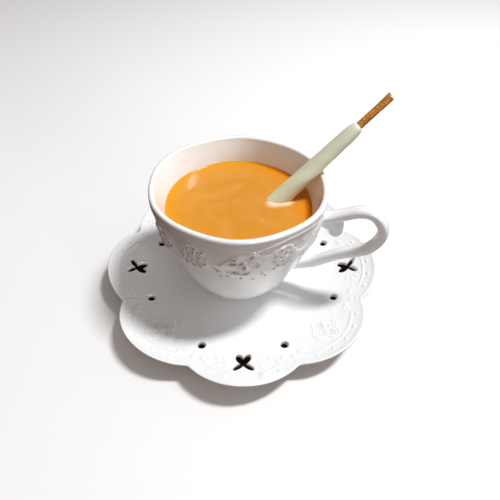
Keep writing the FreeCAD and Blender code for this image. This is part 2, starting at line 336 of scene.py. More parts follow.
def milk_tea(body, pale, edge):
    """Milk tea: slow pale swirls, a warm edge, painted shade that turns it redder on one side by the wall,
    and a creamy patch by the stick.
    """
    finish = Finish("milk_tea", body)
    place = finish.node("Mapping", None, {"Vector": finish.where(), "Scale": (1.0, 1.0, 0.2)})
    swirl = finish.noise(38.0, 4.0, 0.55, 1.6, place)
    fine = finish.noise(150.0, 3.0, 0.6, 0.8, place)
    veil = (swirl.step(0.42, 0.62) * 0.7 + fine.step(0.5, 0.75) * 0.35).clamp()
    shore = finish.attribute("shore")
    tone = finish.blend(veil * (1 - shore.step(0.0, 0.45)), body, pale)
    tone = finish.blend(shore.clamp() * 0.9, tone, edge)
    cream = finish.attribute("cream").clamp()
    # Painted shade: redder tea on one side near the wall, where the wall's shadow falls.
    tone = finish.tint(tone, "wall_shadow", (0.80, 0.19, 0.0))
    tone = finish.blend(cream, tone, (0.92, 0.66, 0.42))
    foam = finish.node("TexVoronoi", None, {"Vector": finish.where(), "Scale": 2600.0}, "Distance")
    return finish.surface(Base_Color=tone, Roughness=0.02 + 0.2 * cream + 0.02 * fine,
                          IOR=1.36, Specular_IOR_Level=0.3,
                          Normal=finish.bump(swirl * 0.35 + foam * cream * 0.4, 0.2, 0.0004))


def cream_coating(colour, tan_and_bounce):
    """Matte cream coating: painted warm light from the tea along its underside, a painted cool highlight on
    the shoulder and faint crumbs.
    """
    finish = Finish("cream_coating", colour)
    broad = finish.noise(120.0, 4.0, 0.6)
    fine = finish.noise(900.0, 3.0, 0.6)
    tone = finish.blend(broad.step(0.4, 0.75) * 0.18, colour, tan_and_bounce)
    # Painted reflected light: the underside, facing the tea, turns tan.
    tone = finish.tint(tone, "warm", tan_and_bounce)
    # Painted highlight: the shoulder turns a cool pale grey.
    tone = finish.tint(tone, "pale", (0.70, 0.71, 0.74))
    tone = finish.blend(fine.step(0.62, 0.8) * 0.25, tone, (0.46, 0.42, 0.30))
    return finish.surface(Base_Color=tone, Roughness=0.42 + 0.2 * broad, IOR=1.45,
                          Normal=finish.bump(fine + broad * 0.7, 0.35, 0.0004))


def baked_biscuit(colour, toasted, crumb):
    """Baked biscuit: golden patches, toasted streaks, painted shade on its underside and open crumb at the
    broken end.
    """
    finish = Finish("baked_biscuit", colour)
    broad = finish.noise(260.0, 4.0, 0.65)
    fine = finish.noise(1500.0, 3.0, 0.65, 0.0, finish.grain())
    pores = finish.node("TexVoronoi", None, {"Vector": finish.where(), "Scale": 1400.0}, "Distance")
    tone = finish.blend(broad.step(0.42, 0.68), colour, toasted)
    tone = finish.tint(tone, "crumb", crumb, 0.7)
    tone = finish.blend(fine.step(0.5, 0.66) * 0.7, tone, (0.20, 0.06, 0.008))
    # Painted shade: the underside turns dark brown.
    tone = finish.tint(tone, "warm", (0.16, 0.045, 0.006), 0.8)
    return finish.surface(Base_Color=tone, Roughness=0.62 + 0.2 * fine, IOR=1.45,
                          Normal=finish.bump(broad + fine * 0.6 + pores, 0.6, 0.0005))


def plain_floor(colour):
    """Pale matte floor with a painted shadow, nearly black, where the saucer covers it, so that the openings
    look dark.
    """
    finish = Finish("studio_floor", colour)
    grain = finish.noise(9.0, 2.0)
    tone = finish.blend(grain * 0.3, colour, tuple(c * 0.985 for c in colour))
    centred = finish.node("Mapping", None, {"Vector": finish.where(), "Location": (0.0, -0.006, 0.0)})
    away = finish.node("VectorMath", {"operation": "LENGTH"}, {"Vector": centred}, "Value")
    # Painted shadow under the saucer: nearly black within about 65 mm of its middle.
    tone = finish.blend(away.step(0.0652, 0.0672), (0.02, 0.013, 0.01), tone)
    return finish.surface(Base_Color=tone, Roughness=0.9, Specular_IOR_Level=0.1)


# ---------------------------------------------------------------- curves and relief

def steady_curve(points, x):
    """Smooth curve through the points that never overshoots them."""
    points = np.asarray(points, float)
    px, py = points[:, 0], points[:, 1]
    gap = np.diff(px)
    slope = np.diff(py) / gap
    tangent = np.zeros(len(px))
    w1, w2 = 2 * gap[1:] + gap[:-1], gap[1:] + 2 * gap[:-1]
    both = slope[:-1] * slope[1:] > 0
    safe = np.where(both, slope[:-1] * slope[1:], 1.0)
    tangent[1:-1] = np.where(both, (w1 + w2) * safe / (w1 * slope[1:] + w2 * slope[:-1] + 1e-12), 0.0)
    tangent[0], tangent[-1] = slope[0], slope[-1]
    at = np.clip(np.searchsorted(px, x, "right") - 1, 0, len(gap) - 1)
    h = gap[at]
    t = np.clip((x - px[at]) / h, 0.0, 1.0)
    return (py[at] * (1 + 2 * t) * (1 - t) ** 2 + h * tangent[at] * t * (1 - t) ** 2
            + py[at + 1] * t * t * (3 - 2 * t) + h * tangent[at + 1] * t * t * (t - 1))


def through(points, count):
    """Rounded path through the points (Catmull-Rom), evenly spaced."""
    points = np.asarray(points, float)
    padded = np.vstack([2 * points[0] - points[1], points, 2 * points[-1] - points[-2]])
    dense = []
    for a, b, c, d in zip(padded, padded[1:], padded[2:], padded[3:]):
        t = np.linspace(0, 1, 24, endpoint=False)[:, None]
        dense.append(0.5 * (2 * b + (c - a) * t + (2 * a - 5 * b + 4 * c - d) * t * t
                            + (3 * b - a - 3 * c + d) * t ** 3))
    dense = np.vstack(dense + [points[-1:]])
    run = np.concatenate([[0.0], np.cumsum(np.linalg.norm(np.diff(dense, axis=0), axis=1))])
    even = np.linspace(0, run[-1], count)
    return np.stack([np.interp(even, run, dense[:, k]) for k in range(dense.shape[1])], 1)


def smoothstep(x, low, high):
    t = np.clip((x - low) / (high - low), 0.0, 1.0)
    return t * t * (3 - 2 * t)


class Relief:
    """Heights pressed into a flat field of points, in millimetres."""

    def __init__(self, x, y):
        self.x = x
        self.y = y
        self.height = np.zeros_like(x)

    def _distance(self, a, b):
        ax, ay = a
        dx, dy = b[0] - ax, b[1] - ay
        t = np.clip(((self.x - ax) * dx + (self.y - ay) * dy) / (dx * dx + dy * dy + 1e-9), 0, 1)
        return np.hypot(self.x - ax - t * dx, self.y - ay - t * dy)

    def line(self, points, width, height):
        """A rounded ridge along a path; a negative height presses a groove."""
        nearest = np.full_like(self.x, 1e9)
        for a, b in zip(points, points[1:]):
            nearest = np.minimum(nearest, self._distance(a, b))
        self._lay(height * np.exp(-(nearest / width) ** 2), height)

    def ring(self, x, y, radius, width, height):
        gap = np.hypot(self.x - x, self.y - y) - radius
        self._lay(height * np.exp(-(gap / width) ** 2), height)

    def dome(self, x, y, radius, height):
        reach = np.hypot(self.x - x, self.y - y) / radius
        self._lay(height * np.sqrt(np.clip(1 - reach ** 2, 0, 1)), height)

    def leaf(self, x, y, angle, length, width, height):
        """A pointed leaf, raised or hollow."""
        c, s = math.cos(angle), math.sin(angle)
        u = ((self.x - x) * c + (self.y - y) * s) / length
        v = (-(self.x - x) * s + (self.y - y) * c) / width
        body = np.clip(1 - u * u, 0, 1) ** 0.8
        self._lay(height * np.clip(1 - (v / np.maximum(body, 1e-3)) ** 2, 0, 1) * (body > 0.02), height)

    def petal(self, x, y, angle, length, width, rim, depth):
        """A hollow leaf with a raised outline; it clears what lies inside it."""
        c, s = math.cos(angle), math.sin(angle)
        u = ((self.x - x) * c + (self.y - y) * s) / length
        v = (-(self.x - x) * s + (self.y - y) * c) / width
        spread = np.hypot(u, v * (1 + 0.5 * u * u))
        inside = np.clip(1 - spread ** 2, 0, 1)
        outline = rim * np.exp(-((spread - 1.15) * (length + width) / 2 / 0.32) ** 2)
        around = np.where(outline > 0.03, np.maximum(self.height, outline), self.height)
        self.height = np.where(inside > 0, np.minimum(self.height, 0.0) - depth * inside ** 0.6, around)

    def _lay(self, shape, height):
        if height > 0:
            self.height = np.where((shape > 0.03) & (shape > self.height), shape, self.height)
        else:
            self.height = self.height + shape


# ---------------------------------------------------------------- meshes

def add_piece(name, points, faces, material, attributes=None):
    """A smooth mesh piece from millimetre points, at the origin, in the scene."""
    mesh = bpy.data.meshes.new(name)
    mesh.from_pydata((np.asarray(points) * MM).tolist(), [], faces)
    mesh.polygons.foreach_set("use_smooth", [True] * len(mesh.polygons))
    for label, values in (attributes or {}).items():
        layer = mesh.attributes.new(label, "FLOAT", "POINT")
        layer.data.foreach_set("value", np.asarray(values, np.float32))
    mesh.materials.append(material)
    mesh.update()
    mesh.validate()
    piece = bpy.data.objects.new(name, mesh)
    bpy.context.scene.collection.objects.link(piece)
    return piece


def tube_faces(rows, columns, flipped=False):
    """Faces of stacked closed rings; the two points that close the ends follow the rings."""
    faces = []
    pole, last = rows * columns, (rows - 1) * columns
    for j in range(columns):
        k = (j + 1) % columns
        faces += [(i + j, i + k, i + columns + k, i + columns + j) for i in range(0, last, columns)]
        faces += [(pole, k, j), (pole + 1, last + j, last + k)]
    return [face[::-1] for face in faces] if flipped else faces


def riding(piece, slot, *nodes):
    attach(piece, "root")
    if nodes:
        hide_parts(*nodes)
    return piece


# ---------------------------------------------------------------- saucer

def saucer_edge(angle):
    """Radius of the saucer's edge: eight arcs that meet in rounded notches."""
    half = math.pi / LOBES
    centre, radius = lobe_arc()

    def arc(a):
        return centre * np.cos(a) + np.sqrt(radius ** 2 - (centre * np.sin(a)) ** 2)

    local = (angle + half) % (2 * half) - half
    near, far = arc(local), arc(2 * half - np.abs(local))
    return np.logaddexp(near * NOTCH_SOFT, far * NOTCH_SOFT) / NOTCH_SOFT


def lobe_arc():
    """Centre distance and radius of one lobe's arc."""
    reach = NOTCH_RADIUS * math.cos(math.pi / LOBES)
    centre = (TIP_RADIUS ** 2 - NOTCH_RADIUS ** 2) / (2 * (TIP_RADIUS - reach))
    return centre, TIP_RADIUS - centre


def wing_hole(angle, grow):
    """Edge of a butterfly opening around its middle: four crossing ovals."""
    best = np.zeros_like(angle)
    for lean, length, width in (INNER_WING, OUTER_WING):
        a, b, middle = length + grow, width + grow, length - WING_ROOT
        for turn in (lean, math.pi - lean):
            c, s = np.cos(angle - turn), np.sin(angle - turn)
            across = c * c / (a * a) + s * s / (b * b)
            along = middle * c / (a * a)
            rest = (middle / a) ** 2 - 1
            best = np.maximum(best, (along + np.sqrt(along ** 2 - across * rest)) / across)
    return best


def dot_hole(angle, grow):
    return np.full_like(angle, DOT_RADIUS + grow)


Hole = namedtuple("Hole", "x y turn edge points taper")


def saucer_holes():
    """Eight round openings at the notches and four butterfly openings in every other lobe."""
    holes = []
    for k in range(LOBES):
        turn = (k + 0.5) * TURN / LOBES
        holes.append(Hole(DOT_CIRCLE * math.cos(turn), DOT_CIRCLE * math.sin(turn), turn,
                          dot_hole, DOT_POINTS, DOT_TAPER))
    for k in range(4):
        turn = k * math.pi / 2
        holes.append(Hole(BUTTERFLY_CIRCLE * math.cos(turn), BUTTERFLY_CIRCLE * math.sin(turn),
                          turn + math.pi / 2, wing_hole, WING_POINTS, WING_TAPER))
    return holes


def rise_share(radius):
    """How far out from the well a radius is: 0 in the well, 1 at the lobes' tips."""
    return np.clip(radius - WELL_RADIUS, 0, None) / (TIP_RADIUS - WELL_RADIUS)


def saucer_top(radius):
    return WELL_HEIGHT + RIM_RISE * rise_share(radius) ** RISE_POWER


def saucer_under(radius):
    """Height of the underside, which reaches the table in the foot ring."""
    shell = saucer_top(radius) - (WALL_MIDDLE + (WALL_EDGE - WALL_MIDDLE) * rise_share(radius))
    foot = smoothstep(radius, FOOT_INNER - FOOT_STEP, FOOT_INNER + FOOT_STEP)
    return shell * (1 - foot * (1 - smoothstep(radius, FOOT_OUTER - FOOT_STEP, FOOT_OUTER + FOOT_STEP)))


def saucer_relief(x, y):
    """Embossing of the saucer's lobes: ridges, beads, lace bands, rosettes and leaves."""
    angle = np.arctan2(y, x)
    step = TURN / LOBES
    lobe = np.round(angle / step).astype(int)
    local = angle - lobe * step
    radius = np.hypot(x, y)
    across, out = radius * np.sin(local), radius * np.cos(local)
    centre, arc = lobe_arc()
    relief = Relief(across, out)
    around = np.arctan2(across, out - centre)
    inward = arc - np.hypot(across, out - centre)

    edge = saucer_edge(angle) - radius
    relief.height = 0.20 * np.exp(-((edge - 1.0) / 0.7) ** 2)
    span = np.clip(1 - (np.abs(around) / RIDGE_END) ** 10, 0, 1)
    relief.height = np.maximum(relief.height, 0.48 * np.exp(-((inward - RIDGE_IN) / 0.42) ** 2) * span)
    relief.height -= 0.28 * np.exp(-((inward - RIDGE_IN - 1.0) / 0.5) ** 2) * span
    band = np.clip(1 - ((inward - BAND_IN) / BAND_HALF) ** 6, 0, 1)
    band = band * np.clip(1 - (np.abs(around) / BAND_END) ** 12, 0, 1)
    run = around * (arc - BAND_IN)
    weave = np.sin((run + inward) * math.pi / WEAVE) * np.sin((run - inward) * math.pi / WEAVE)
    relief.height += band * (0.09 * weave - 0.10)
    for side in (-1, 1):
        reach = arc - RIDGE_IN
        curl_x = side * (reach * math.sin(RIDGE_END) - 1.1)
        curl_y = centre + reach * math.cos(RIDGE_END) - 1.7
        relief.ring(curl_x, curl_y, 1.3, 0.4, 0.36)
        relief.dome(curl_x, curl_y, 0.7, 0.3)

    from_notch = np.abs(local) - step / 2
    notch = Relief(radius * np.sin(from_notch), radius * np.cos(from_notch))
    for x_place, y_place, size in NOTCH_DOMES:
        notch.dome(x_place, y_place, size, 0.42)
    relief.height = np.maximum(relief.height, notch.height)

    rosette, wings = Relief(across, out), Relief(across, out)
    rosette_field(rosette)
    wings_field(wings)
    inner = np.where(lobe % 2 == 0, wings.height, rosette.height)
    return relief.height + inner * (inward > RIDGE_IN + 0.4)


def pairs_of_leaves(field, leaves):
    for side in (-1, 1):
        for across, out, turn, length, width, height in leaves:
            field.leaf(side * across, out, side * turn, length, width, height)


def rosette_field(field):
    """Four looped petals on crossed stems, each with a wavy outline, and leaf buds below."""
    cx, cy = 0.0, ROSETTE_OUT
    quarters = [k * math.pi / 2 for k in range(4)]
    middles = [(cx + ROSETTE_REACH * math.cos(a), cy + ROSETTE_REACH * math.sin(a)) for a in quarters]
    outline = np.full_like(field.x, 1e9)
    for a, (bx, by) in zip(quarters, middles):
        away = np.arctan2(field.y - by, field.x - bx)
        wave = 3.15 + 0.28 * np.abs(np.sin(4 * (away - a)))
        outline = np.minimum(outline, np.hypot(field.x - bx, field.y - by) - wave)
    field.height = 0.42 * np.exp(-(outline / 0.34) ** 2)
    for a, (bx, by) in zip(quarters, middles):
        field.petal(bx - 0.5 * math.cos(a), by - 0.5 * math.sin(a), a, 2.3, 1.5, 0.5, 0.32)
        field.leaf(bx, by, a, 1.2, 0.5, 0.3)
        field.line(through([(cx, cy), (cx + 1.3 * math.cos(a + 0.5), cy + 1.3 * math.sin(a + 0.5)),
                            (bx - 1.7 * math.cos(a - 0.5), by - 1.7 * math.sin(a - 0.5))], 8), 0.34, 0.36)
        b = a + math.pi / 4
        field.leaf(cx + 4.6 * math.cos(b), cy + 4.6 * math.sin(b), b, 1.5, 0.65, 0.28)
        field.dome(cx + 6.9 * math.cos(b), cy + 6.9 * math.sin(b), 0.5, 0.22)
    field.dome(cx, cy, 0.8, 0.4)
    pairs_of_leaves(field, ROSETTE_LEAVES)
    field.leaf(0.0, 49.4, math.pi / 2, 1.3, 0.5, 0.26)


def wings_field(field):
    """Petals and tiny dots around a butterfly opening."""
    cy = BUTTERFLY_CIRCLE
    turn = np.arctan2(cy - field.y, field.x)
    gap = np.hypot(field.x, field.y - cy) - wing_hole(turn, 0.0) - 0.9
    field.height = 0.16 * np.exp(-(gap / 0.55) ** 2)
    pairs_of_leaves(field, WING_LEAVES)
    for side in (-1, 1):
        field.dome(side * 11.6, cy - 0.2, 0.65, 0.3)
    for k in range(-3, 4):
        a = k * math.radians(15)
        field.dome(9.3 * math.sin(a), cy - 9.3 * math.cos(a), 0.45, 0.22)


def even_angles(count):
    return np.linspace(0, TURN, count, endpoint=False)


def polar(radius, angle, x=0.0, y=0.0):
    return np.stack([x + radius * np.cos(angle), y + radius * np.sin(angle)], 1)


def lattice(spacing, low, high):
    """Even triangular lattice of points between two radii."""
    count = int(high / spacing) + 2
    i, j = np.meshgrid(np.arange(-count, count + 1), np.arange(-count, count + 1))
    x = (i + 0.5 * (j % 2)) * spacing
    y = j * spacing * math.sqrt(0.75)
    r = np.hypot(x, y)
    keep = (r >= low) & (r < high)
    return np.stack([x[keep], y[keep]], 1)


def on_saucer(points, holes, edge_gap, hole_gap, under=0):
    """Which points lie farther than a gap from the saucer's edge and from each of its openings."""
    x, y = points.T
    inside = np.hypot(x, y) < saucer_edge(np.arctan2(y, x)) - edge_gap
    for hole in holes:
        dx, dy = x - hole.x, y - hole.y
        reach = hole.edge(np.arctan2(dy, dx) - hole.turn, hole_gap - under * hole.taper)
        inside &= np.hypot(dx, dy) > reach
    return inside


def skin(loops, others, holes, under):
    """Triangulates one side of the saucer; returns its points, triangles and where each input went."""
    inputs = np.vstack(loops + others)
    edges, start = [], 0
    for loop in loops:
        n = len(loop)
        edges += [(start + i, start + (i + 1) % n) for i in range(n)]
        start += n
    result = delaunay_2d_cdt([Vector(p) for p in inputs.tolist()], edges, [], 0, 1e-5)
    points = np.array([tuple(v) for v in result[0]])
    triangles = np.array([f for f in result[2] if len(f) == 3])
    inside = on_saucer(points[triangles].mean(1), holes, 0.0, -CHORD_GAP, under)
    went = np.full(len(inputs), -1)
    for k, sources in enumerate(result[3]):
        for source in sources:
            went[source] = k
    return points, triangles[inside], went


def saucer_shell(fine, coarse):
    """Points, faces and hollow shading of the saucer: an embossed top, an underside and the walls between."""
    holes = saucer_holes()

    def loops(grow, under):
        angle = even_angles(EDGE_POINTS)
        found = [polar(saucer_edge(angle) - grow, angle)]
        for hole in holes:
            angle = even_angles(hole.points)
            reach = hole.edge(angle - hole.turn, grow - under * hole.taper)
            found.append(polar(reach, angle, hole.x, hole.y))
        return found

    def face(grows, grids, margin, under=0):
        edge = loops(grows[0], under)
        extra = [np.vstack(loops(g, under)) for g in grows[1:]]
        drops = [np.full(sum(map(len, edge)), grows[0])]
        drops += [np.full(len(e), g) for e, g in zip(extra, grows[1:])]
        grid = np.vstack(grids)
        grid = grid[on_saucer(grid, holes, margin, margin)]
        drops.append(np.full(len(grid), NO_EDGE))
        points, triangles, went = skin(edge, extra + [grid], holes, under)
        inset = np.full(len(points), NO_EDGE)
        inset[went] = np.concatenate(drops)
        return edge, points, triangles, went, inset

    edge, top, top_faces, top_went, inset = face(
        EDGE_STEPS, [lattice(coarse, 0, RELIEF_FROM), lattice(fine, RELIEF_FROM, PAST_TIP)],
        EDGE_STEPS[-1] + 0.28)
    depth = np.clip(ROUND_OVER - inset, 0, ROUND_OVER)
    drop = ROUND_OVER - np.sqrt(ROUND_OVER ** 2 - depth ** 2)
    relief = saucer_relief(top[:, 0], top[:, 1]) * smoothstep(inset, 0.1, 0.7)
    # Painted shade in the saucer's grooves and sunk parts, fading out near the edges.
    hollow = np.clip(-relief, 0, 1) * np.clip(inset, 0, 1) * 0.7
    points = [np.column_stack([top, saucer_top(np.hypot(top[:, 0], top[:, 1])) - drop + relief])]
    faces = top_faces.tolist()

    grids = [lattice(*grid) for grid in zip(
        UNDER_STEPS, (0, FOOT_INNER + 1, FOOT_OUTER + 1), (FOOT_INNER - 1, FOOT_OUTER - 1, PAST_TIP))]
    grids += [polar(np.full(180, middle + off), even_angles(180))
              for middle in (FOOT_INNER, FOOT_OUTER) for off in (-0.4, 0.0, 0.4)]
    _, low, low_faces, low_went, low_inset = face((0.0, 0.5), grids, 0.9, 1)
    base = len(top)
    lift = 0.45 * (low_inset == 0.0)
    points.append(np.column_stack([low, saucer_under(np.hypot(low[:, 0], low[:, 1])) + lift]))
    faces += (low_faces[:, ::-1] + base).tolist()

    start = 0
    for k, loop in enumerate(edge):
        n = len(loop)
        for i in range(start, start + n):
            j = start + (i + 1 - start) % n
            wall = (int(top_went[i]), base + int(low_went[i]), base + int(low_went[j]), int(top_went[j]))
            faces.append(wall if k == 0 else (wall[0], wall[3], wall[2], wall[1]))
        start += n
    points = np.vstack(points)
    return points, faces, np.concatenate([hollow, np.zeros(len(low))])


# ---------------------------------------------------------------- cup

def cup_swing(height, angle):
    """How far the cup's wall moves in and out of round: six soft lobes and a slight oval."""
    return (np.clip(height, 0, None) / CUP_HEIGHT) ** 3 * (
        -0.35 * np.cos(6 * angle) + 0.95 * np.cos(2 * (angle + math.radians(6))))


def outside_radius(height):
    share = np.clip(height, 0, LIP_CENTRE[1]) / LIP_CENTRE[1]
    widest = LIP_CENTRE[0] + LIP_HALF
    return FOOT_RADIUS + (widest - FOOT_RADIUS) * steady_curve(OUTSIDE, share)


def inside_radius(height):
    share = np.clip(height - FLOOR_HEIGHT, 0, None) / (LIP_CENTRE[1] - FLOOR_HEIGHT)
    narrow = LIP_CENTRE[0] - LIP_HALF
    return FLOOR_RADIUS + (narrow - FLOOR_RADIUS) * steady_curve(INSIDE, share)


def cup_relief(degrees, height):
    """Embossing around the cup, and how much painted shade darkens its hollows and the band above the field:
    a swagged ridge, a raised field with a waved top edge, and on it flowers, ringed buds, rosettes and sunk
    dots, six times round."""
    local = (degrees - REPEAT_HEADING + REPEAT_LEFT) % REPEAT - REPEAT_LEFT
    swag = np.abs((degrees - SWAG_HEADING + REPEAT / 2) % REPEAT - REPEAT / 2) / (REPEAT / 2)
    ridge = SWAG_HIGH - SWAG_DROP * swag ** 1.6
    top = steady_curve(FIELD_EDGE, local)
    field = smoothstep(top - height, -0.3, 0.3)

    motif = Relief(local * math.radians(1.0) * RELIEF_RADIUS, height)
    for x, y, turn, length, width in PETALS:
        motif.petal(x, y, turn, length, width, 0.42, 0.6)
    motif.ring(*RINGED_BUD, 1.9, 0.36, 0.5)
    motif.dome(*RINGED_BUD, 0.7, 0.4)
    motif.dome(-5.6, 47.0, 0.55, 0.3)
    for count, reach, length, width in ((5, 2.5, 1.35, 0.6), (10, 5.3, 1.4, 0.62)):
        for k in range(count):
            turn = (k + 0.3) * TURN / count
            x, y = CUP_ROSETTE[0] + reach * math.cos(turn), CUP_ROSETTE[1] + reach * math.sin(turn)
            motif.petal(x, y, 0.6 * turn, length, width, 0.45, 0.36)
    motif.dome(*CUP_ROSETTE, 0.8, 0.5)
    motif.line([(-15.9, 53.8), (-14.3, 52.4)], 0.3, 0.35)
    motif.line(through([(-1.6, 55.9), (0.2, 57.3), (1.4, 56.3), (2.9, 57.0), (4.4, 55.0)], 14), 0.32, 0.4)
    dots = Relief(motif.x, height)
    for x, y in DOTS:
        dots.dome(x, y, 0.75, 1.0)

    raised = 0.42 * field * smoothstep(height, RELIEF_LOW, 45.0)
    raised = raised + 0.13 * np.exp(-((height - top + 0.3) / 0.32) ** 2)
    raised = np.maximum(raised, 0.45 * np.exp(-((height - ridge) / 0.36) ** 2))
    raised = raised - 0.15 * np.exp(-((height - ridge + 0.9) / 0.5) ** 2)
    # Painted shade: strongest in petal hollows and sunk dots, weaker in the plain band above the raised
    # field.
    painted_shade = np.clip(-1.5 * motif.height, 0, 1) + 0.9 * dots.height + 0.22 * (1 - field)
    return raised + motif.height - 0.45 * dots.height, painted_shade


def cup_shell(columns, relief_rows):
    """Points, faces and hollow shading of the cup without its handle."""
    angle = even_angles(columns)
    rings, hollows = [], []

    def ring(radius, height, hollow=0.0):
        wide, z, shade = (np.broadcast_to(value, angle.shape) for value in (radius, height, hollow))
        rings.append(np.column_stack([polar(wide, angle, CUP_X), CUP_Z + z]))
        hollows.append(shade)

    def wall(profile, height, relief=0.0, hollow=0.0):
        ring(profile(np.array([height]))[0] + cup_swing(height, angle) + relief, height, hollow)

    inner_foot = FOOT_RADIUS - FOOT_WIDTH
    for radius, height in ((6.0, FOOT_RECESS), (12.0, FOOT_RECESS), (inner_foot - 0.8, FOOT_RECESS),
                           (inner_foot - 0.1, FOOT_RECESS - 0.5), (inner_foot + 0.2, 0.25),
                           (inner_foot + 0.6, 0.0), (FOOT_RADIUS - 0.5, 0.0), (FOOT_RADIUS - 0.1, 0.3)):
        ring(radius, height)
    for height in np.linspace(1.0, RELIEF_LOW, 11, endpoint=False):
        wall(outside_radius, height)
    degrees = np.degrees(angle)
    for height in np.linspace(RELIEF_LOW, RELIEF_HIGH, relief_rows):
        field = np.full(columns, height)
        relief, painted_shade = cup_relief(degrees, field)
        fade = smoothstep(field, RELIEF_LOW, RELIEF_FULL) * (1 - smoothstep(field, 60.2, 60.7))
        wall(outside_radius, height, relief * fade, painted_shade)
    # Painted shade just under the lip.
    wall(outside_radius, 61.3, hollow=0.3)
    for turn in np.linspace(0, math.pi, 13):
        height = LIP_CENTRE[1] + LIP_HALF * math.sin(turn)
        ring(LIP_CENTRE[0] + LIP_HALF * math.cos(turn) + cup_swing(height, angle), height)
    for height in np.linspace(61.0, 5.0, 14):
        wall(inside_radius, height)
    deepest = FLOOR_HEIGHT - FLOOR_DIP
    for radius, height in ((FLOOR_RADIUS, FLOOR_HEIGHT), (6.0, deepest), (2.0, deepest)):
        ring(radius, height)
    points = np.vstack(rings + [[(CUP_X, 0, CUP_Z + FOOT_RECESS)], [(CUP_X, 0, CUP_Z + deepest)]])
    return points, tube_faces(len(rings), columns), np.concatenate(hollows + [np.zeros(2)])


def handle_path():
    """The handle's middle line in its own plane: distance from the cup's axis, and height."""
    wall = float(outside_radius(np.array([UPPER_ROOT]))[0])
    low_wall = float(outside_radius(np.array([LOWER_ROOT]))[0])
    line = [(wall + share * HANDLE_REACH, LOWER_ROOT + rise * (HANDLE_TOP - LOWER_ROOT))
            for share, rise in LOOP]
    return [(wall - 1.2, UPPER_ROOT + 1.0)] + line + [(low_wall - 0.6, LOWER_ROOT + 1.2)]


def sweep(line, thick, wide, columns, power=2.4):
    """A closed bar along a flat path: rounded-rectangle sections, ready to be placed."""
    line = np.asarray(line)
    along = np.gradient(line, axis=0)
    along /= np.linalg.norm(along, axis=1)[:, None]
    out = np.stack([-along[:, 1], along[:, 0]], 1)
    c, s = np.cos(even_angles(columns)), np.sin(even_angles(columns))
    u = np.sign(c) * np.abs(c) ** (2 / power)
    v = np.sign(s) * np.abs(s) ** (2 / power)
    rings = []
    for middle, side, t, w in zip(line, out, thick, wide):
        reach = middle[None] + side[None] * (u * t)[:, None]
        rings.append(np.column_stack([reach[:, 0], v * w, reach[:, 1]]))
    ends = [[(line[0][0], 0, line[0][1])], [(line[-1][0], 0, line[-1][1])]]
    return np.vstack(rings + ends), tube_faces(len(rings), columns, flipped=True)


def handle_shell():
    """The looped bar, thicker at its roots, and its thumb curl, turned to the cup's side."""
    line = through(handle_path(), 170)
    share = np.linspace(0, 1, len(line))
    flare = 0.9 * np.exp(-share / 0.035) + 1.0 * np.exp(-(1 - share) / 0.05)
    bar, faces = sweep(line, 2.45 + 0.15 * share + 0.8 * flare, 3.3 - 0.4 * share + 1.0 * flare, 40)

    rounding = CURL_LOW - CURL_ROUND * np.sin(np.linspace(0.06, 1.56, 24))
    drop = np.concatenate([np.linspace(CURL_TOP, CURL_LOW, 30), rounding])
    knob = np.clip(CURL_LOW - drop, 0, CURL_ROUND) / CURL_ROUND
    knob = np.sqrt(np.clip(1 - knob ** 2, 0.0001, 1))
    middle = np.column_stack([steady_curve(CURL_MIDDLE, drop), drop])
    curl, curl_faces = sweep(middle, steady_curve(CURL_HALF, drop) * knob, CURL_WIDE * knob, 36, 2.2)
    faces += [tuple(i + len(bar) for i in face) for face in curl_faces]
    out, across, height = np.vstack([bar, curl]).T
    c, s = math.cos(HANDLE_HEADING), math.sin(HANDLE_HEADING)
    return np.column_stack([CUP_X + out * c - across * s, out * s + across * c, height + CUP_Z]), faces


# ---------------------------------------------------------------- tea and stick

def melt(x, y):
    """How creamy the tea is at a place, from 0 to 1; x and y start where the stick goes in."""
    along = (x + 0.5) * 0.96 + (y + 2.2) * 0.28
    off = -(x + 0.5) * 0.28 + (y + 2.2) * 0.96
    wobble = 0.08 * np.sin(3 * np.arctan2(off, along) + 0.6)
    return 1 - smoothstep(np.hypot(along / 7.4, off / 4.8) + wobble, 0.55, 1.15)


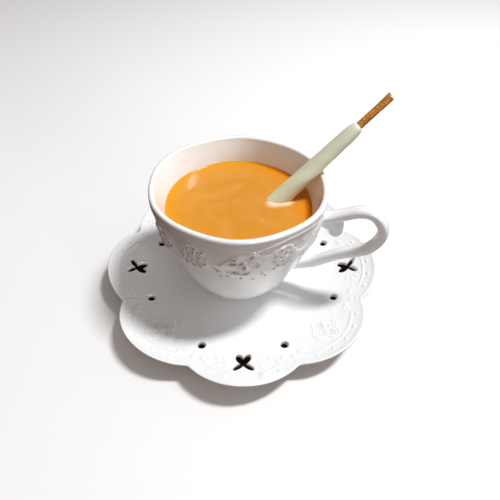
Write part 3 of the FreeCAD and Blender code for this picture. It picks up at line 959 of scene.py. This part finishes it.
def tea_shell(columns, top):
    """Tea that climbs at the wall and round the stick, and its shore and cream shading and the painted shade
    of the wall.
    """
    angle = even_angles(columns)
    height = top - CUP_Z
    entry = STICK_POINT + STICK_WAY * (top - STICK_POINT[2]) / STICK_WAY[2]
    edge = inside_radius(np.array([height]))[0] + cup_swing(height, angle) + 0.12
    rings, shore, cream, wall_shadow = [], [], [], []
    for share in np.concatenate([np.linspace(0.04, 0.9, 70), np.linspace(0.91, 1.0, 14)]):
        x, y = polar(edge * share, angle, CUP_X).T
        gap = edge * (1 - share)
        patch = melt(x - entry[0], y - entry[1])
        stick = np.hypot((x - entry[0]) / 1.3, y - entry[1])
        climb = TEA_CLIMB * np.exp(-gap / 0.8) + TEA_CLING * np.exp(-np.clip(stick - 4.4, 0, None) / 0.7)
        swell = 0.6 * patch + 0.02 * np.sin(x * 0.31 + 1.0) * np.cos(y * 0.27)
        rings.append(np.column_stack([x, y, top - TEA_SINK + climb + swell]))
        shore.append(0.75 * np.exp(-gap / 5.0) + 0.6 * np.exp(-gap / 0.8))
        cream.append(patch)
        # Painted shade of the wall: near the wall, on the side round angle 0.35 radians.
        wall_shadow.append(np.exp(-gap / 4.0) * np.clip(np.cos(angle - 0.35) * 1.9 - 0.8, 0, 1))
    for level in np.linspace(height - 1.0, TEA_BOTTOM, 14):
        r = inside_radius(np.array([level]))[0] + cup_swing(level, angle) + 0.05
        rings.append(np.column_stack([polar(r, angle, CUP_X), np.full(columns, level + CUP_Z)]))
        shore.append(np.ones(columns))
        cream.append(np.zeros(columns))
        wall_shadow.append(np.zeros(columns))
    points = np.vstack(rings + [[(CUP_X, 0, top - TEA_SINK)], [(CUP_X, 0, CUP_Z + TEA_BOTTOM - 1)]])
    shades = {"shore": shore, "cream": cream, "wall_shadow": wall_shadow}
    return points, tube_faces(len(rings), columns, flipped=True), {
        name: np.concatenate(rows + [[0, 0]]) for name, rows in shades.items()}


def round_stick(along, radius, angle):
    """Points around the stick's middle line, at a distance along it and from it."""
    way = STICK_WAY / np.linalg.norm(STICK_WAY)
    side = np.cross(way, (0.0, 0.0, 1.0))
    side /= np.linalg.norm(side)
    out = (radius * np.cos(angle))[:, None] * side + (radius * np.sin(angle))[:, None] * np.cross(side, way)
    return STICK_POINT + np.broadcast_to(along, angle.shape)[:, None] * way + out


def stick_ends(low, high):
    """The two points on the stick's middle line that close a shell."""
    return round_stick(np.array([low, high]), np.zeros(2), np.zeros(2))


def lumps(along, angle, seed, size):
    """Repeatable soft unevenness around a stick."""
    rng = np.random.default_rng(seed)
    total = np.zeros_like(angle + along)
    for _ in range(14):
        k, m = rng.integers(1, 6), rng.uniform(0.15, 1.6)
        total = total + rng.normal() / (1 + k * 0.5) * np.sin(k * angle + m * along + rng.uniform(0, TURN))
    return total * size


def coating_shell(columns):
    """The coating from under the tea to its narrowed, rounded shoulder."""
    low = (COATING_BOX[0].z / MM + COATING_LOW - STICK_POINT[2]) / STICK_WAY[2] * np.linalg.norm(STICK_WAY)
    shoulder = COATING_ABOVE - SHOULDER
    steps = np.concatenate([np.linspace(low, shoulder, 190),
                            shoulder + SHOULDER * np.sin(np.linspace(0.08, 1.5, 12))])
    angle = even_angles(columns)
    rings, warm, pale = [], [], []
    for s in steps:
        over = np.clip((s - shoulder) / SHOULDER, 0, 1)
        taper = np.clip((s - COATING_ABOVE + NECK) / NECK, 0, 1)
        radius = COATING_RADIUS - COATING_TAPER * s - 0.62 * taper ** 2.2
        radius = radius - 0.75 * (1 - math.sqrt(1 - over ** 2))
        rings.append(round_stick(s, radius + lumps(s * 0.45, angle, 5, 0.03) * (1 - over), angle))
        # Painted reflected light on the side of the coating that faces down towards the tea.
        warm.append(np.clip(np.cos(angle + 1.1) * 2.2 - 1.3, 0, 1))
        # Painted highlight, rising towards the shoulder.
        pale.append(np.full(columns, 0.9 * np.clip((s - COATING_ABOVE + HIGHLIGHT_NECK) / HIGHLIGHT_NECK, 0, 1)))
    points = np.vstack(rings + [stick_ends(steps[0], steps[-1])])
    return points, tube_faces(len(rings), columns, flipped=True), {
        "warm": np.concatenate(warm + [[0, 0]]), "pale": np.concatenate(pale + [[0, 1]])}


def biscuit_shell(columns):
    """The bare end of the biscuit, with a ragged break."""
    angle = even_angles(columns)
    low = COATING_ABOVE - BISCUIT_SUNK
    slant = 0.45 * np.cos(angle - 2.6) + 0.22 * np.sin(4 * angle + 0.6)
    slant = slant + 0.2 * np.sin(9 * angle) + 0.12 * np.sin(14 * angle)
    top = STICK_ABOVE - BREAK_DEPTH + slant
    rings, warm, crumb = [], [], []
    for share in np.linspace(0, 1, 80):
        s = low + (top - low) * share
        rings.append(round_stick(s, BISCUIT_RADIUS + 0.16 * share + lumps(s, angle, 8, 0.03), angle))
        # Painted shade on the biscuit's lower side.
        warm.append(np.clip(np.cos(angle + 0.9) * 2.4 - 1.2, 0, 1))
        crumb.append(np.full(columns, smoothstep(np.array(share), 0.95, 1.0)))
    floor = STICK_ABOVE - BREAK_DEPTH - 0.5
    for inward in (0.8, 0.55, 0.3):
        s = floor + (top - floor) * inward * 0.9 + lumps(inward * 9, angle, 11, 0.12)
        rings.append(round_stick(s, (BISCUIT_RADIUS + 0.1) * inward, angle))
        warm.append(np.zeros(columns))
        crumb.append(np.ones(columns))
    points = np.vstack(rings + [stick_ends(low, floor)])
    return points, tube_faces(len(rings), columns, flipped=True), {
        "warm": np.concatenate(warm + [[0, 1]]), "crumb": np.concatenate(crumb + [[0, 1]])}


# ---------------------------------------------------------------- beads by Geometry Nodes

def bead_tree(material):
    """Sets a small rounded bead on every point of the incoming mesh."""
    tree = bpy.data.node_groups.new("edge_beads", "GeometryNodeTree")
    face = tree.interface
    face.new_socket("Geometry", in_out="INPUT", socket_type="NodeSocketGeometry")
    face.new_socket("Bead Radius", in_out="INPUT", socket_type="NodeSocketFloat")
    face.new_socket("Bead Height", in_out="INPUT", socket_type="NodeSocketFloat")
    face.new_socket("Geometry", in_out="OUTPUT", socket_type="NodeSocketGeometry")

    def add(kind, **inputs):
        node = tree.nodes.new(kind)
        for name, value in inputs.items():
            slot = node.inputs[name.replace("_", " ")]
            if hasattr(value, "is_output"):
                tree.links.new(value, slot)
            else:
                slot.default_value = value
        return node

    source = add("NodeGroupInput")
    ball = add("GeometryNodeMeshIcoSphere", Radius=1.0, Subdivisions=3)
    size = add("ShaderNodeCombineXYZ", X=source.outputs["Bead Radius"], Y=source.outputs["Bead Radius"],
               Z=source.outputs["Bead Height"])
    place = add("GeometryNodeInstanceOnPoints", Points=source.outputs["Geometry"],
                Instance=ball.outputs["Mesh"], Scale=size.outputs[0])
    real = add("GeometryNodeRealizeInstances", Geometry=place.outputs["Instances"])
    smooth = add("GeometryNodeSetShadeSmooth", Geometry=real.outputs["Geometry"])
    finish = add("GeometryNodeSetMaterial", Geometry=smooth.outputs["Geometry"])
    finish.inputs["Material"].default_value = material
    end = tree.nodes.new("NodeGroupOutput")
    tree.links.new(finish.outputs["Geometry"], end.inputs["Geometry"])
    return tree


def grown(name, points, tree, settings):
    """Runs a node tree on loose points and keeps the result as a plain mesh piece."""
    mesh = bpy.data.meshes.new(name + "_points")
    mesh.from_pydata((np.asarray(points) * MM).tolist(), [], [])
    source = bpy.data.objects.new(name + "_points", mesh)
    bpy.context.scene.collection.objects.link(source)
    modifier = source.modifiers.new("grow", "NODES")
    modifier.node_group = tree
    named = {i.name: i.identifier for i in tree.interface.items_tree if i.in_out == "INPUT"}
    for label, value in settings.items():
        modifier[named[label]] = value
    done = bpy.data.meshes.new_from_object(source.evaluated_get(bpy.context.evaluated_depsgraph_get()))
    done.name = name
    bpy.data.objects.remove(source)
    piece = bpy.data.objects.new(name, done)
    bpy.context.scene.collection.objects.link(piece)
    return piece


def bead_places():
    """Five beads along every lobe's edge."""
    centre, arc = lobe_arc()
    places = []
    for lobe in range(LOBES):
        turn = lobe * TURN / LOBES
        for k in range(-2, 3):
            reach = arc - BAND_IN
            out, across = centre + reach * math.cos(k * BEAD_STEP), reach * math.sin(k * BEAD_STEP)
            x = out * math.cos(turn) - across * math.sin(turn)
            y = out * math.sin(turn) + across * math.cos(turn)
            places.append((x, y, float(saucer_top(np.array([math.hypot(x, y)]))[0]) - BEAD_SINK))
    return places


# ---------------------------------------------------------------- settings

def shade(name, description, default):
    return bpy.props.FloatVectorProperty(name=name, description=description, default=default,
                                         subtype="COLOR", size=3, min=0, max=1)


def length(name, description, default, **limits):
    return bpy.props.FloatProperty(name=name, description=description, default=default,
                                   subtype="DISTANCE", unit="LENGTH", **limits)


def power(name, description, default):
    return bpy.props.FloatProperty(name=name, description=description, default=default, unit="POWER", min=0)


class MilkTeaPorcelain(bpy.types.PropertyGroup):
    colour: shade("Glaze", "Colour of the glazed porcelain", (0.84, 0.845, 0.85))
    fine: length("Relief Step", "Spacing of the saucer's points where it is embossed", 0.00047,
                 min=0.0003, max=0.003)
    bead_radius: length("Bead Radius", "Radius of the beads on the saucer's edge", 0.001,
                        min=0.0002, max=0.003)
    bead_height: length("Bead Height", "Height of the beads on the saucer's edge", 0.0004,
                        min=0.0001, max=0.003)


class MilkTeaDrink(bpy.types.PropertyGroup):
    body: shade("Tea", "Main colour of the tea", (0.60, 0.245, 0.028))
    pale: shade("Milk Swirls", "Colour of the paler swirls", (0.65, 0.30, 0.055))
    edge: shade("Edge", "Colour of the thin edge of the tea", (0.69, 0.30, 0.002))
    level: length("Level", "Height of the tea above the table", TEA_BOX[1].z)


class MilkTeaStick(bpy.types.PropertyGroup):
    coating: shade("Coating", "Colour of the coating", (0.80, 0.85, 0.65))
    # Tan for random patches and for the painted reflected light on the coating's underside
    tan_and_bounce: shade("Coating Flush", "Tan colour on the coating's underside", (0.84, 0.60, 0.42))
    biscuit: shade("Biscuit", "Golden colour of the biscuit", (0.84, 0.34, 0.045))
    toasted: shade("Toasted", "Darker baked colour", (0.50, 0.17, 0.022))
    crumb: shade("Crumb", "Colour of the broken end", (0.60, 0.30, 0.09))


class MilkTeaStage(bpy.types.PropertyGroup):
    floor: shade("Floor", "Colour of the plain floor", (0.86, 0.855, 0.85))
    ambient: bpy.props.FloatProperty(name="Ambient Light", description="Strength of the light from all round",
                                     default=0.45, min=0, max=5)
    key: power("Key Light", "Power of the main lamp", 10.3)
    window: power("Window Light", "Power of the lamp that glints on the tea", 0.055)
    front: power("Front Light", "Power of the soft card in front of the cup", 2.0)
    gleam: power("Gleam Light", "Power of the card that only reflections show", 5.0)
    lens: bpy.props.FloatProperty(name="Lens", description="Focal length of the camera",
                                  subtype="DISTANCE_CAMERA", unit="CAMERA", default=28.82)


# ---------------------------------------------------------------- operators

def porcelain(context):
    """The glaze that the saucer, the cup and the handle share."""
    ready = bpy.data.materials.get("glazed_porcelain")
    return ready or glazed_porcelain(tuple(context.scene.milktea_porcelain.colour))


class MILKTEA_OT_saucer(bpy.types.Operator):
    """Makes the pierced and embossed saucer"""
    bl_idname = "milktea.saucer"
    bl_label = "Saucer"

    def execute(self, context):
        settings = context.scene.milktea_porcelain
        glaze = porcelain(context)
        points, faces, hollow = saucer_shell(settings.fine / MM, COARSE_STEP)
        saucer = add_piece("saucer_pierced", points, faces, glaze, {"hollow": hollow})
        riding(saucer, "porcelain", "saucer")
        beads = grown("saucer_beads", bead_places(), bead_tree(glaze),
                      {"Bead Radius": settings.bead_radius, "Bead Height": settings.bead_height})
        riding(beads, "porcelain")
        return {"FINISHED"}


class MILKTEA_OT_cup(bpy.types.Operator):
    """Makes the embossed cup"""
    bl_idname = "milktea.cup"
    bl_label = "Cup"

    def execute(self, context):
        points, faces, hollow = cup_shell(CUP_COLUMNS, RELIEF_ROWS)
        cup = add_piece("cup_embossed", points, faces, porcelain(context), {"hollow": hollow})
        riding(cup, "porcelain", "cup")
        return {"FINISHED"}


class MILKTEA_OT_handle(bpy.types.Operator):
    """Makes the cup's looped handle and its thumb curl"""
    bl_idname = "milktea.handle"
    bl_label = "Handle"

    def execute(self, context):
        points, faces = handle_shell()
        handle = add_piece("cup_handle", points, faces, porcelain(context), {"hollow": np.zeros(len(points))})
        riding(handle, "porcelain")
        return {"FINISHED"}


class MILKTEA_OT_tea(bpy.types.Operator):
    """Fills the cup with milk tea"""
    bl_idname = "milktea.tea"
    bl_label = "Tea"

    def execute(self, context):
        settings = context.scene.milktea_drink
        brew = milk_tea(tuple(settings.body), tuple(settings.pale), tuple(settings.edge))
        points, faces, looks = tea_shell(360, settings.level / MM)
        tea = add_piece("tea_surface", points, faces, brew, looks)
        riding(tea, "tea", "tea")
        bpy.data.collections["window_glint"].objects.link(tea)
        return {"FINISHED"}


class MILKTEA_OT_stick(bpy.types.Operator):
    """Makes the coated biscuit stick"""
    bl_idname = "milktea.stick"
    bl_label = "Biscuit Stick"

    def execute(self, context):
        settings = context.scene.milktea_stick
        cream = cream_coating(tuple(settings.coating), tuple(settings.tan_and_bounce))
        points, faces, looks = coating_shell(120)
        coating = add_piece("stick_coating", points, faces, cream, looks)
        riding(coating, "coating", "coating")
        baked = baked_biscuit(tuple(settings.biscuit), tuple(settings.toasted), tuple(settings.crumb))
        points, faces, looks = biscuit_shell(72)
        biscuit = add_piece("stick_biscuit", points, faces, baked, looks)
        riding(biscuit, "biscuit", "biscuit")
        return {"FINISHED"}


class MILKTEA_OT_stage(bpy.types.Operator):
    """Sets the floor, the lamps and the camera"""
    bl_idname = "milktea.stage"
    bl_label = "Stage"

    def execute(self, context):
        settings = context.scene.milktea_stage
        scene = context.scene
        corners = [(x * FLOOR_HALF, y * FLOOR_HALF, 0) for x, y in ((-1, -1), (1, -1), (1, 1), (-1, 1))]
        floor = add_piece("stage_floor", corners, [(0, 1, 2, 3)], plain_floor(tuple(settings.floor)))
        floor.visible_diffuse = False
        floor.visible_glossy = False

        scene.world = soft_room(settings.ambient)
        scene.view_settings.view_transform = "Standard"

        key = place_lamp("key_lamp", settings.key, *KEY_LAMP)
        key.data.shape = "ELLIPSE"
        key.data.size_y = KEY_TALL
        window = place_lamp("window_lamp", settings.window, *WINDOW_LAMP)
        window.visible_diffuse = False
        window.data.use_shadow = False
        window.data.cycles.use_multiple_importance_sampling = False
        window.light_linking.receiver_collection = bpy.data.collections.new("window_glint")
        place_lamp("front_card", settings.front, *FRONT_CARD)
        gleam = place_lamp("front_gleam", settings.gleam, *FRONT_GLEAM)
        gleam.visible_diffuse = False

        camera = bpy.data.objects.new("view_camera", bpy.data.cameras.new("view_camera"))
        scene.collection.objects.link(camera)
        camera.data.sensor_width = 36.0
        camera.data.lens = settings.lens
        camera.data.clip_start = 0.01
        camera.matrix_world = camera_pose(CAMERA_PLACE, CAMERA_DOWN, CAMERA_TURN, CAMERA_ROLL)
        scene.camera = camera
        return {"FINISHED"}


def soft_room(strength):
    """Light from all round: bright overhead and to the right, dim and warm from below and low on the left."""
    world = bpy.data.worlds.new("soft_room")
    world.use_nodes = True
    nodes, links = world.node_tree.nodes, world.node_tree.links
    place = nodes.new("ShaderNodeTexCoord")
    lean = nodes.new("ShaderNodeVectorMath")
    lean.operation = "DOT_PRODUCT"
    lean.inputs[1].default_value = ROOM_LEAN
    links.new(place.outputs["Generated"], lean.inputs[0])
    ramp = nodes.new("ShaderNodeValToRGB")
    stops = ramp.color_ramp.elements
    stops.new(0.5)
    for stop, (at, colour) in zip(stops, ROOM_TONES):
        stop.position = at
        stop.color = (*colour, 1.0)
    links.new(lean.outputs["Value"], ramp.inputs["Fac"])
    seen = nodes.new("ShaderNodeLightPath")
    pale = nodes.new("ShaderNodeMix")
    pale.data_type = "RGBA"
    links.new(seen.outputs["Is Camera Ray"], pale.inputs["Factor"])
    links.new(ramp.outputs["Color"], pale.inputs[6])
    pale.inputs[7].default_value = (*[ROOM_SEEN / strength] * 3, 1.0)
    links.new(pale.outputs[2], nodes["Background"].inputs["Color"])
    nodes["Background"].inputs["Strength"].default_value = strength
    return world


def camera_pose(place, down, turn, roll):
    """Camera matrix from its place in millimetres and its three angles in degrees."""
    down, turn, roll = map(math.radians, (down, turn, roll))
    ahead = Vector((-math.sin(turn) * math.cos(down), math.cos(turn) * math.cos(down), -math.sin(down)))
    right = ahead.cross(Vector((0, 0, 1))).normalized()
    up = right.cross(ahead)
    tilted = right * math.cos(roll) + up * math.sin(roll)
    crown = up * math.cos(roll) - right * math.sin(roll)
    pose = Matrix((tilted, crown, -ahead)).transposed().to_4x4()
    pose.translation = Vector(place) * MM
    return pose


def place_lamp(name, power, heading, height, distance, size, colour):
    """A round area lamp that looks at the middle of the cup from a heading and height in degrees."""
    lamp = bpy.data.lights.new(name, "AREA")
    lamp.shape = "DISK"
    lamp.size = size
    lamp.energy = power
    lamp.color = colour
    holder = bpy.data.objects.new(name, lamp)
    bpy.context.scene.collection.objects.link(holder)
    heading, height = math.radians(heading), math.radians(height)
    way = Vector((*(math.cos(height) * f(heading) for f in (math.cos, math.sin)), math.sin(height)))
    holder.location = Vector(LAMPS_LOOK_AT) * MM + way * distance
    holder.rotation_euler = way.to_track_quat("Z", "Y").to_euler()
    return holder


class MILKTEA_PT_panel(bpy.types.Panel):
    bl_label = "Milk Tea"
    bl_space_type = "VIEW_3D"
    bl_region_type = "UI"
    bl_category = "Milk Tea"

    def draw(self, context):
        for step in STEPS:
            self.layout.operator(step.bl_idname)
        for label, kind in SETTINGS.items():
            group = getattr(context.scene, label)
            for name in kind.__annotations__:
                self.layout.prop(group, name)


SETTINGS = {"milktea_porcelain": MilkTeaPorcelain, "milktea_drink": MilkTeaDrink,
            "milktea_stick": MilkTeaStick, "milktea_stage": MilkTeaStage}
STEPS = (MILKTEA_OT_stage, MILKTEA_OT_saucer, MILKTEA_OT_cup, MILKTEA_OT_handle, MILKTEA_OT_tea,
         MILKTEA_OT_stick)
CLASSES = (*SETTINGS.values(), *STEPS, MILKTEA_PT_panel)


def register():
    for kind in CLASSES:
        bpy.utils.register_class(kind)
    for label, kind in SETTINGS.items():
        setattr(bpy.types.Scene, label, bpy.props.PointerProperty(type=kind))


def unregister():
    for label in SETTINGS:
        delattr(bpy.types.Scene, label)
    for kind in reversed(CLASSES):
        bpy.utils.unregister_class(kind)


def main():
    register()
    for step in STEPS:
        group, name = step.bl_idname.split(".")
        getattr(getattr(bpy.ops, group), name)()


if __name__ == "__main__":
    main()
